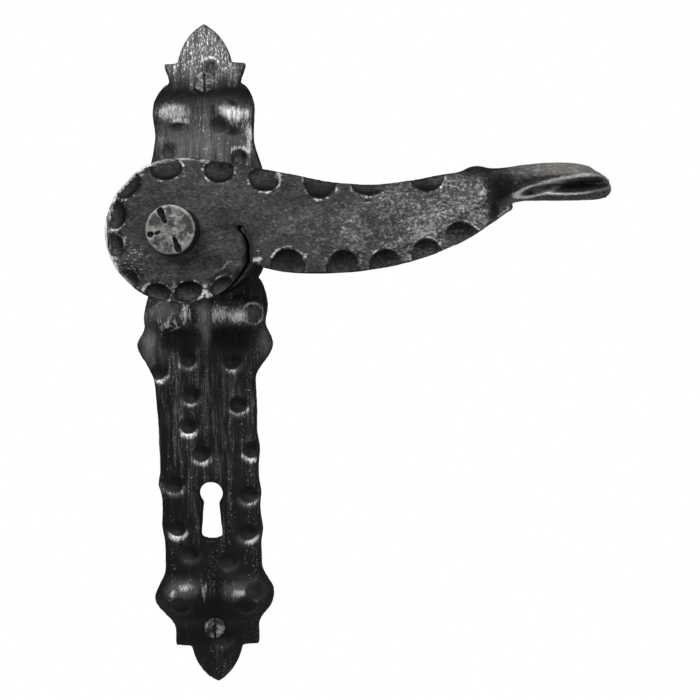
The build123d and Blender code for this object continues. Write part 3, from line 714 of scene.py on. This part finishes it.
class StageSettings(bpy.types.PropertyGroup):
    """Light, floor and camera."""

    key: FloatProperty(name="Key", description="Power of the large lamp", default=3.7, unit="POWER")
    fill: FloatProperty(name="Fill", description="Power of the side lamp", default=3.2, unit="POWER")
    ambient: FloatProperty(name="Ambient", description="Light from all round", default=0.2, min=0)
    floor: FloatProperty(
        name="Floor", description="Tone of the floor", default=0.85, min=0, max=1, subtype="FACTOR"
    )
    floor_depth: FloatProperty(
        name="Floor depth", description="Drop from the spindle to the floor", default=0.37, unit="LENGTH"
    )
    floor_radius: FloatProperty(
        name="Floor radius", description="Reach of the round floor", default=0.33, unit="LENGTH"
    )
    eye: FloatVectorProperty(
        name="Eye", description="The camera's place", default=(0.05093, -0.25857, -0.01681), unit="LENGTH"
    )
    lens: FloatProperty(name="Lens", description="Focal length", default=36.46, unit="CAMERA")
    roll: FloatProperty(
        name="Roll", description="Turn about the view", default=math.radians(1.1), unit="ROTATION"
    )
    shift: FloatProperty(
        name="Shift", description="Rise of the frame over the view's middle", default=-0.0929
    )


# Every table of marks and patches is in millimetres and degrees, seen from the front.
# A round hammer mark's length and width
DENT_LENGTH = 7.0
DENT_WIDTH = 6.8


def round_dents(*rows):
    """Round hammer marks from their places and depths."""
    return tuple((x, z, DENT_LENGTH, DENT_WIDTH, 0, depth) for x, z, depth in rows)


# Hammer marks on the plate: place, length, width, lean and depth
PLATE_DENTS = round_dents(
    (-7.2, -41.9, 0.5), (8.4, -43.0, 0.5), (-17.8, -46.6, 0.5), (-6.4, -54.8, 0.6), (10.4, -58.5, 0.6),
    (-7.5, -65.7, 0.6), (14.7, -74.9, 0.6), (-3.0, -75.7, 0.6), (-13.0, -86.7, 0.6), (13.3, -90.8, 0.6),
    (-12.3, -102.2, 0.6), (12.8, -104.2, 0.6),
)
# Those with faint lips
FAINT_DENTS = (
    *round_dents(
        (5.4, 40.9, 0.6), (-7.8, -110.8, 0.5), (5.8, -113.6, 0.4), (14.9, -124.3, 0.2),
        (-11.3, -129.3, 0.6), (12.1, -129.6, 0.5), (2.9, -142.5, 0.3),
    ),
    (11.2, 48.5, 3.4, 2.4, 0, 0.5),
)
# Shallow ones on the middle ridge with a lip all round
RING_DENTS = ((-15.7, -25.3, 7.4, 7.2, 0, 0.1), (16.4, -26.3, 7.0, 7.4, 0, 0.2))
# One with a grey floor, and those lit on their upper side
GREY_DENTS = round_dents((-12.6, 32.1, 0.3))
UPPER_DENTS = (*round_dents((2.0, 62.3, 0.3), (12.5, 29.2, 0.6)), (-9.6, 41.0, 7.0, 2.6, 8, 0.6))
# Ridges: height, half width, and rounds of rubbing at the valley between their halves
RIDGES = ((45.2, 18.0, 140), (-26.7, 21.0, 200), (-125.5, 22.0, 140))
# Silver on the ridges: place, length, width, lean and strength
PILLOWS = (
    (-11.4, 45.8, 16.5, 8.0, -4, 0.9), (11.2, 44.7, 18.5, 9.5, -12, 1.0), (16.4, 37.0, 4.5, 20.0, 0, 0.9),
    (-14.2, -29.4, 10.0, 5.5, 0, 1.0), (-6.7, -25.5, 6.0, 9.0, 0, 0.75), (6.0, -26.2, 11.0, 7.5, 0, 1.02),
    (11.4, -26.9, 6.5, 6.5, 0, 1.3), (-13.8, -124.7, 5.5, 3.0, 45, 0.95), (-9.6, -122.9, 9.5, 3.4, 5, 1.0),
    (-3.0, -124.2, 3.6, 10.5, 0, 0.75), (10.4, -124.8, 13.0, 3.8, -3, 0.95),
)
# Painted sheen: smooth lighter grey in the valley, on the lobes, the ridges and the field, with the same
# sizes
PAINTED_SHEEN = (
    (-0.7, -28.0, 4.6, 18.0, 0, 0.9), (-15.7, -25.3, 7.2, 7.0, 0, 0.7), (-21.8, -35.5, 6.5, 18.0, 0, 0.6),
    (20.8, -36.5, 6.0, 15.0, 0, 0.5), (7.9, -26.4, 16.0, 9.0, 0, 0.6), (-2.0, 33.5, 22.0, 13.0, 0, 0.3),
    (10.0, -124.4, 13.0, 6.0, 0, 0.5), (-10.5, -123.6, 13.0, 6.0, 8, 0.5), (16.4, -26.3, 7.0, 7.2, 0, 0.3),
    (-11.5, -129.6, 6.0, 5.0, 0, 0.4),
)
# Painted shade under the ridges and pillows, with the same sizes
SHADE_UNDER_RIDGES = (
    (-9.5, -35.0, 16.0, 11.0, 0, 1.0), (8.5, -35.0, 18.0, 12.0, 0, 1.0), (-9.5, 40.6, 9.0, 4.0, 5, 0.6),
    (10.0, 38.8, 8.0, 4.5, -10, 0.7), (0.0, -132.0, 44.0, 12.0, 0, 0.9), (0.0, -141.0, 34.0, 14.0, 0, 0.6),
)
# The valley in the middle of a ridge, and the hollow at each of its ends: length, width, lean and depth
VALLEY_X = -0.5
VALLEY = (13.0, 28.0, 0, 1.4)
RIDGE_END = (14.0, 24.0, 0, 1.3)
# Ovals rubbed soft at the valley, along the ridge, and where the upper pillows meet their marks:
# length and width, and rounds where they are always the same
VALLEY_SOFT = (22.0, 30.0)
RIDGE_SOFT = (60.0, 22.0, 14)
PILLOW_SOFT = (12.0, 12.0, 120)
PILLOW_ENDS = ((11.2, 47.5), (-10.2, 41.5))
# Iron that fills the middle ridge's groove: place and radii
GROOVE_LUMP = ((0, -8.5, RIDGES[1][0]), (4.0, 2.6, 3.6))
# Iron pushed out of the plate's edges beside the marks: height and side
EDGE_BULGES = ((-74.9, 1), (-90.8, 1), (-104.2, 1), (-86.7, -1), (-102.2, -1), (-48.0, -1))
# How far it is pushed, over which height, from where on and over which run
EDGE_OUT = 0.8
EDGE_SPREAD = 3.5
EDGE_START = 12.0
EDGE_RUN = 6.0


class ForgePlate(bpy.types.Operator):
    """Makes the hammered back plate"""

    bl_idname = "handle.forge_plate"
    bl_label = "Forge Plate"

    def execute(self, context):
        settings = context.scene.handle_forge
        piece = forge("backplate", "forged_plate", settings.plate_grid, 3, (GROOVE_LUMP,))
        self.ridges(piece)
        hammer(piece, PLATE_DENTS, lit=-85)
        hammer(piece, FAINT_DENTS, lit=-85, lips=0.42)
        hammer(piece, RING_DENTS, lips=0.7, shade=0.06)
        hammer(piece, GREY_DENTS, lit=-45, lips=0.35, shade=0.35)
        hammer(piece, UPPER_DENTS, lit=80, lips=1.1, shade=0.32)
        for height, side in EDGE_BULGES:
            swell(piece, 0, side, EDGE_OUT, height, EDGE_SPREAD, EDGE_START, EDGE_RUN)
        rub(piece, "painted_sheen", PAINTED_SHEEN)
        rub(piece, "shade_under_ridges", SHADE_UNDER_RIDGES)
        rub(piece, "pillow", PILLOWS)
        roughen(piece, settings.depth, settings.grain)
        dress(piece, "plate", "forged_iron", plate_paint(context.scene.handle_finish), "backplate")
        return {"FINISHED"}

    def ridges(self, piece):
        """Rounds the ridges off, deepens the valley between their halves and lowers their ends."""
        for height, half, rounds in RIDGES:
            press(piece, VALLEY_X, height, *VALLEY)
            soften(piece, VALLEY_X, height, *VALLEY_SOFT, rounds)
            for side in (-1, 1):
                press(piece, side * half, height, *RIDGE_END)
            soften(piece, 0, height, *RIDGE_SOFT)
        for x, z in PILLOW_ENDS:
            soften(piece, x, z, *PILLOW_SOFT)


# Hammer marks on the lever's face: place, length, width, lean and depth
LEVER_DENTS = (
    (-2.4, 18.4, 9.6, 7.0, 7, 1.7), (13.1, 17.4, 9.0, 7.0, -8, 1.7), (26.3, 14.9, 9.2, 7.6, -12, 1.6),
    (42.8, 14.3, 10.2, 11.4, -8, 1.7), (57.0, 12.8, 10.5, 7.2, 0, 1.6), (74.2, 14.5, 10.5, 9.0, 6, 1.6),
    (-13.5, 13.6, 9.0, 5.8, 45, 1.7), (-17.3, 4.8, 8.4, 5.8, 76, 1.5), (-17.7, -3.9, 8.0, 4.9, 100, 1.5),
    (-14.2, -14.0, 6.8, 6.0, -45, 1.7), (-5.6, -18.2, 8.2, 6.2, -17, 1.7), (3.4, -18.0, 8.6, 6.4, 10, 1.7),
    (13.2, -16.6, 7.6, 5.6, 38, 1.7), (32.7, -11.4, 10.6, 12.0, -6, 1.6), (49.3, -13.0, 10.8, 13.6, 0, 1.7),
    (61.8, -12.0, 10.6, 11.6, 10, 1.7), (74.0, -9.0, 10.0, 11.4, 20, 1.7), (84.5, -4.4, 10.6, 12.2, 30, 1.6),
    (10.4, -10.4, 8.0, 5.6, 35, 0.5),
)
# Silver rubbed between the marks, and in the last row a painted highlight on the facet at the arm's end:
# place, length, width, lean and strength
LEVER_SILVER = (
    (-17.3, 9.9, 4.5, 3.4, 45, 0.9), (-18.8, 0.5, 5.0, 2.4, 0, 0.9), (-15.2, -3.2, 3.2, 9.0, 0, 0.85),
    (-17.3, -9.6, 5.0, 3.4, -50, 0.8), (-1.0, -17.2, 2.4, 6.0, 0, 0.8), (8.5, -17.3, 3.0, 7.0, 20, 0.95),
    (-9.9, 15.6, 2.6, 7.5, -15, 0.8), (2.6, 16.8, 2.4, 5.0, 20, 0.8), (30.7, 15.4, 3.4, 5.5, 10, 1.0),
    (47.5, 11.6, 2.6, 6.0, 25, 0.9), (37.6, -8.8, 2.6, 6.5, -20, 0.9), (54.0, -10.1, 2.6, 6.5, -20, 1.0),
    (44.2, -8.8, 2.4, 6.0, 20, 0.7), (90.8, 10.3, 4.5, 8.0, -20, 0.7), (80.1, 13.4, 2.6, 5.0, 20, 0.8),
    (78.9, -3.6, 2.4, 5.0, 30, 0.6), (14.0, -11.0, 1.6, 5.0, -30, 0.8), (24.0, -8.8, 6.5, 2.4, 8, 0.95),
    (24.0, -6.4, 4.0, 2.2, 35, 0.75), (97.3, 3.9, 8.0, 2.2, 42, 0.9),
)
# The line through the lever's middle that its marks face, in metres
LEVER_SPINE = ((0, 0), (0.09, 0.006))
# The cupped grip: place, length, width, lean and depth
GRIP_HOLLOWS = ((119.4, 11.5, 23.0, 4.2, 3, 1.2), (107.2, 10.3, 12.0, 2.6, 12, 0.8))
# The fold where the arm turns into the grip: place, length, width and lean, then its depth
ARM_FOLD = (95.3, 10.7, 17.0, 9.5, -72)
FOLD_DEPTH = 2.0
# Iron pushed up at the arm's end: place and radii
LEVER_LUMPS = (((89.3, -47.2, 15.4), (5.0, 3.4, 2.9)), ((97.8, -47.2, 5.6), (2.6, 3.0, 1.8)))
# Painted shadow on the hump above the fold, then below the fold and along the slit: place, length,
# width, lean and strength
HUMP_SHADE = (88.5, 16.5, 20.0, 9.0, -8, 0.7)
LEVER_SHADE = (
    (94.4, 4.8, 11.0, 4.2, 66, 0.9),
    (18.9, 0.3, 3.4, 2.6, -45, 0.9), (20.7, -3.2, 6.0, 2.8, -80, 0.9), (20.4, -8.2, 6.4, 2.4, 75, 0.8),
    (17.8, -12.6, 5.0, 2.0, 55, 0.7),
)
# Ovals rubbed soft at the fold, the hump above it and the tip: place, length, width and rounds
LEVER_SOFT = ((92.5, 8.5, 30.0, 24.0, 120), (88.5, 16.5, 24.0, 11.0, 60), (127.5, 11.2, 14.0, 20.0, 260))
# The hook at the slit's upper end in metres: its place, the iron that moves on each side of it, the
# height where it starts and where it has its full shift, and the heights between which it fades
HOOK_X = 0.0216
HOOK_SIDE = 0.007
HOOK_START = -0.0048
HOOK_FULL = 0.0004
HOOK_SHIFT = 0.0027
HOOK_FADE = (0.002, 0.007)
# The grip's rounded tip and the hub's raised crown: how far they are pushed out, their middle and
# spread along the edge, where the push starts and over which run it rises
TIP_SWELL = (2.4, 10.3, 2.2, 119.0, 6.0)
CROWN_SWELL = (0.8, 3.0, 11.0, 9.0, 8.0)


class ForgeLever(bpy.types.Operator):
    """Makes the hammered lever and its neck"""

    bl_idname = "handle.forge_lever"
    bl_label = "Forge Lever"

    def execute(self, context):
        settings = context.scene.handle_forge
        paint = lever_paint(context.scene.handle_finish)
        lever = forge("lever", "forged_lever", settings.lever_grid, 4, LEVER_LUMPS)
        for oval_and_rounds in LEVER_SOFT:
            soften(lever, *oval_and_rounds)
        self.hook(lever)
        swell(lever, 0, 1, *TIP_SWELL, power=2)
        swell(lever, 2, 1, *CROWN_SWELL)
        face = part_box("lever_neck")[0][1] - settings.tenon_short
        hammer(lever, LEVER_DENTS, face=face, spine=LEVER_SPINE)
        hammer(lever, GRIP_HOLLOWS, lips=1.4, shade=0.85)
        rub(lever, "bright", LEVER_SILVER)
        press(lever, *ARM_FOLD, FOLD_DEPTH)
        # Painted shadow in the fold, on the hump above it, below it and along the slit
        rub(lever, "painted_shadow", [(*ARM_FOLD, 1.0)], reach=1.1)
        rub(lever, "painted_shadow", [HUMP_SHADE], reach=1.2)
        rub(lever, "painted_shadow", LEVER_SHADE)
        roughen(lever, settings.depth * 0.7, settings.grain)
        dress(lever, "lever", "forged_iron", paint, "lever")
        neck = forge("lever_neck", "forged_neck", settings.lever_grid, 2)
        roughen(neck, settings.depth * 0.6, settings.grain)
        dress(neck, "lever", "forged_iron", paint, "lever_neck")
        return {"FINISHED"}

    def hook(self, lever):
        """Bends the slit's upper end over towards the rivet."""
        places = points(lever.data)
        low, high = HOOK_FADE
        beside = np.clip(1 - ((places[:, 0] - HOOK_X) / HOOK_SIDE) ** 2, 0, 1) ** 2
        over = np.clip((places[:, 2] - HOOK_START) / (HOOK_FULL - HOOK_START), 0, 1) ** 2
        fade = np.clip((high - places[:, 2]) / (high - low), 0, 1)
        places[:, 0] -= HOOK_SHIFT * beside * over * fade
        move(lever.data, places)


# Chisel marks on the rivet: place, length, width, lean and depth
RIVET_MARKS = (
    (-2.5, 4.9, 3.4, 1.9, -68, 1.1), (-1.8, 3.3, 3.6, 1.3, -66, 0.9), (1.5, -3.6, 3.4, 1.3, -72, 0.9),
    (2.2, -5.4, 3.4, 1.9, -70, 1.1), (-5.6, -1.4, 2.1, 1.8, 15, 0.8), (-3.6, -1.0, 2.2, 1.2, 20, 0.3),
)
# The rivet's flat face in metres: its radius, and how far behind it points still belong to it
RIVET_FACE = 0.0062
RIVET_STEP = 0.003


class ForgeRivet(bpy.types.Operator):
    """Makes the chisel-marked rivet"""

    bl_idname = "handle.forge_rivet"
    bl_label = "Forge Rivet"

    def execute(self, context):
        settings = context.scene.handle_forge
        piece = forge("lever_rivet", "forged_rivet", settings.rivet_grid, 3)
        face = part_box("lever_rivet")[0][1]
        places = points(piece.data)
        flat = np.hypot(places[:, 0], places[:, 2]) < RIVET_FACE
        flat &= places[:, 1] < face + RIVET_STEP
        places[flat, 1] = face
        move(piece.data, places)
        hammer(piece, RIVET_MARKS, face=face, lips=0.6)
        roughen(piece, settings.depth * 0.5, settings.grain / 3)
        dress(piece, "lever", "worn_steel", rivet_paint(), "lever_rivet")
        return {"FINISHED"}


# How far in front of the door a screw's head begins and is fully rubbed, in metres
HEAD_RUB = (-0.0028, -0.0042)


def screw_paint():
    """Black screws whose heads were rubbed with the plate."""
    paint = Paint("rubbed_screw")
    where = paint.place()
    grains = paint.noise(where, 1500, 3.0, 0.75)
    clouds = paint.noise(where, 320, 3.0, 0.6)
    silver = (grains * 2.2 + clouds * 1.4).ramp(1.65, 2.4) * paint.along("Y").ramp(*HEAD_RUB) * 0.75
    black = paint.mix(clouds.ramp(0.35, 0.7), grey(0.008), grey(0.05))
    roughness = 0.5 + (grains - 0.5) * 0.2
    return rubbed_finish(paint, silver, black, 0.55, roughness, paint.bump(grains, 0.0002, 0.6))


# How far a point of the shank may lie off its radius, and the heads' soft edge, in metres
SHANK_SLACK = 5e-5
HEAD_EDGE = 0.00012
# The thread's three-sided section: radius as a share of the pitch, and how much it is squeezed
# towards the shank and along it
THREAD_SECTION = 0.58
THREAD_DEPTH = 0.8
THREAD_FLATNESS = 0.6
# What is left of the thread's radius at the screw's point
POINT_SHARE = 0.04


class CutScrews(bpy.types.Operator):
    """Makes the slotted fixing screws with their threads"""

    bl_idname = "handle.cut_screws"
    bl_label = "Cut Screws"

    def execute(self, context):
        thread = context.scene.handle_thread
        piece = cad_copy("fixing_screws", "slotted_screws")
        places = points(piece.data)
        lower, upper = SCREW_HEIGHTS
        row = np.where(places[:, 2] < (lower + upper) / 2, lower, upper)
        radius = np.hypot(places[:, 0], places[:, 2] - row)
        shank = np.abs(radius - thread.crest) < SHANK_SLACK
        start, end = float(places[shank, 1].min()), float(places[:, 1].max())
        shrink = np.where(shank, thread.core / thread.crest, 1.0)
        places[:, 0] *= shrink
        places[:, 2] = row + (places[:, 2] - row) * shrink
        move(piece.data, places)
        modify(
            piece, "BEVEL", width=HEAD_EDGE, segments=2, limit_method="ANGLE", angle_limit=math.radians(40)
        )
        helixes = [self.helix(thread, height, start, end) for height in SCREW_HEIGHTS]
        select_only(piece)
        for helix in helixes:
            helix.select_set(True)
        bpy.ops.object.join()
        bpy.ops.object.shade_smooth_by_angle(angle=math.radians(35))
        dress(piece, "plate", "black_steel", screw_paint(), "fixing_screws")
        return {"FINISHED"}

    def helix(self, thread, height, start, end):
        """One thread from the shank to the point, as thin as the core allows there."""
        turns = int((end - start) / thread.pitch)
        bpy.ops.object.select_all(action="DESELECT")
        bpy.ops.mesh.primitive_circle_add(
            vertices=3, radius=THREAD_SECTION * thread.pitch, rotation=(0, 0, -math.pi / 2)
        )
        helix = bpy.context.object
        bpy.ops.object.transform_apply(location=False, rotation=True, scale=False)
        outline = points(helix.data)
        outline[:, 0] = thread.crest - (outline[:, 0].max() - outline[:, 0]) * THREAD_DEPTH
        outline[:, 1] = outline[:, 1] * THREAD_FLATNESS + start + thread.pitch / 2
        move(helix.data, outline)
        modify(
            helix, "SCREW", axis="Y", screw_offset=thread.pitch, iterations=turns - 1,
            steps=thread.steps, render_steps=thread.steps, use_normal_calculate=True,
        )
        places = points(helix.data)
        taper = np.clip((end - places[:, 1]) / thread.point, POINT_SHARE, 1)
        places[:, 0] *= taper
        places[:, 2] = places[:, 2] * taper + height
        move(helix.data, places)
        return helix


# The hidden parts' finishes: colour, metallic share, roughness, stretch of the tool marks, and nodes
EVEN = (1, 1, 1)
DRAWN = (1.0, 0.06, 1.0)
HIDDEN_FINISHES = {
    "zinc_plate": ((0.50, 0.50, 0.47, 1), 0.9, 0.38, EVEN, ("drive_plate", "spring_cover", "cover_screws")),
    "drawn_steel": (
        (0.42, 0.42, 0.43, 1), 1.0, 0.33, DRAWN, ("spindle", "drive_pin", "stop_pins", "spring_anchor")
    ),
    "black_oxide": ((0.028, 0.028, 0.031, 1), 0.6, 0.45, EVEN, ("grub_screw", "retaining_ring")),
    "dark_bronze": ((0.055, 0.04, 0.025, 1), 0.7, 0.5, EVEN, ("bearing_bush",)),
    "black_nylon": ((0.022, 0.022, 0.022, 1), 0.0, 0.5, EVEN, ("thrust_washer", "rear_washer")),
    "spring_wire": ((0.2, 0.2, 0.21, 1), 0.95, 0.3, EVEN, ("return_spring",)),
}


class DressMechanism(bpy.types.Operator):
    """Gives the hidden parts their finishes"""

    bl_idname = "handle.dress_mechanism"
    bl_label = "Dress Mechanism"

    def execute(self, context):
        for name, (colour, metallic, roughness, streak, nodes) in HIDDEN_FINISHES.items():
            material = plain_finish(name, colour, metallic, roughness, streak)
            for node in nodes:
                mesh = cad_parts[node].data
                mesh.materials.clear()
                mesh.materials.append(material)
        return {"FINISHED"}


# Lamps in metres: place and size, and the point that they face
KEY_PLACE = (-0.16, -0.46, 0.36)
KEY_SIZE = 0.4
FILL_PLACE = (0.5, -0.72, 0.1)
FILL_SIZE = 0.6
LIT_POINT = (0.03, 0, -0.04)
# How far a mirrored ray points behind the handle where the white ground starts and where it is full
WHITE_FROM = -0.1
WHITE_FULL = 0.5


class SetStage(bpy.types.Operator):
    """Sets the floor, the light and the camera"""

    bl_idname = "handle.set_stage"
    bl_label = "Set Stage"

    def execute(self, context):
        stage = context.scene.handle_stage
        bpy.ops.mesh.primitive_circle_add(
            vertices=128, radius=stage.floor_radius, fill_type="NGON", location=(0, 0, -stage.floor_depth)
        )
        floor = context.object
        floor.name = "floor"
        paint = Paint("floor_white")
        clouds = paint.noise(paint.place(), 6.0, 2.0, 0.5)
        white = paint.mix(clouds, grey(stage.floor), grey(stage.floor * 1.04))
        floor.data.materials.append(paint.finish({"Base Color": white, "Roughness": 0.9}))
        self.lamp("key", KEY_PLACE, KEY_SIZE, stage.key)
        self.lamp("fill", FILL_PLACE, FILL_SIZE, stage.fill)
        self.sky(context.scene, stage)
        self.camera(context.scene, stage)
        return {"FINISHED"}

    def lamp(self, name, place, size, power):
        """A square lamp that faces the handle."""
        data = bpy.data.lights.new(name, "AREA")
        data.size = size
        data.energy = power
        lamp = bpy.data.objects.new(name, data)
        lamp.location = place
        lamp.rotation_euler = (Vector(LIT_POINT) - Vector(place)).to_track_quat("-Z", "Y").to_euler()
        bpy.context.scene.collection.objects.link(lamp)

    def sky(self, scene, stage):
        """A white ground for the camera and for what mirrors it, and an even light for the rest."""
        world = bpy.data.worlds.new("studio")
        scene.world = world
        world.use_nodes = True
        sky = Nodes(world.node_tree)
        seen = sky.add("ShaderNodeLightPath", output="Is Camera Ray")
        mirrored = sky.add("ShaderNodeLightPath", output="Is Glossy Ray")
        through = sky.add("ShaderNodeLightPath", output="Is Transmission Ray")
        where = sky.add("ShaderNodeTexCoord", output="Generated")
        depth = sky.add("ShaderNodeSeparateXYZ", None, {0: where}, output="Y")
        values = {"Value": depth, "From Min": WHITE_FROM, "From Max": WHITE_FULL}
        behind = sky.add("ShaderNodeMapRange", None, values)
        white = mirrored.most(through) * behind + seen
        strength = sky.add("ShaderNodeMapRange", None, {"Value": white, "To Min": stage.ambient})
        background = world.node_tree.nodes["Background"]
        sky.feed(background.inputs["Color"], (1, 1, 1, 1))
        sky.feed(background.inputs["Strength"], strength)

    def camera(self, scene, stage):
        """The camera, level and turned only about its view."""
        data = bpy.data.cameras.new("camera")
        data.lens = stage.lens
        data.sensor_width = 36.0
        data.shift_y = stage.shift
        data.clip_start = 0.005
        data.clip_end = 20
        camera = bpy.data.objects.new("camera", data)
        camera.location = stage.eye
        camera.rotation_euler = (math.pi / 2, stage.roll, 0)
        scene.collection.objects.link(camera)
        scene.camera = camera
        scene.view_settings.view_transform = "Standard"


class HandlePanel(bpy.types.Panel):
    """Lists the steps that build the handle"""

    bl_idname = "VIEW3D_PT_forged_handle"
    bl_label = "Forged Handle"
    bl_space_type = "VIEW_3D"
    bl_region_type = "UI"
    bl_category = "Forged Handle"

    def draw(self, context):
        for step in STEPS:
            self.layout.operator(step.bl_idname)


STEPS = (ForgePlate, ForgeLever, ForgeRivet, CutScrews, DressMechanism, SetStage)
GROUPS = {
    "handle_finish": FinishSettings,
    "handle_forge": ForgeSettings,
    "handle_thread": ThreadSettings,
    "handle_stage": StageSettings,
}


def register():
    for group in GROUPS.values():
        bpy.utils.register_class(group)
    for name, group in GROUPS.items():
        setattr(bpy.types.Scene, name, PointerProperty(type=group))
    for step in STEPS:
        bpy.utils.register_class(step)
    bpy.utils.register_class(HandlePanel)


def unregister():
    bpy.utils.unregister_class(HandlePanel)
    for step in reversed(STEPS):
        bpy.utils.unregister_class(step)
    for name in GROUPS:
        delattr(bpy.types.Scene, name)
    for group in reversed(GROUPS.values()):
        bpy.utils.unregister_class(group)


def main():
    register()
    bpy.ops.handle.forge_plate()
    bpy.ops.handle.forge_lever()
    bpy.ops.handle.forge_rivet()
    bpy.ops.handle.cut_screws()
    bpy.ops.handle.dress_mechanism()
    bpy.ops.handle.set_stage()


if __name__ == "__main__":
    main()
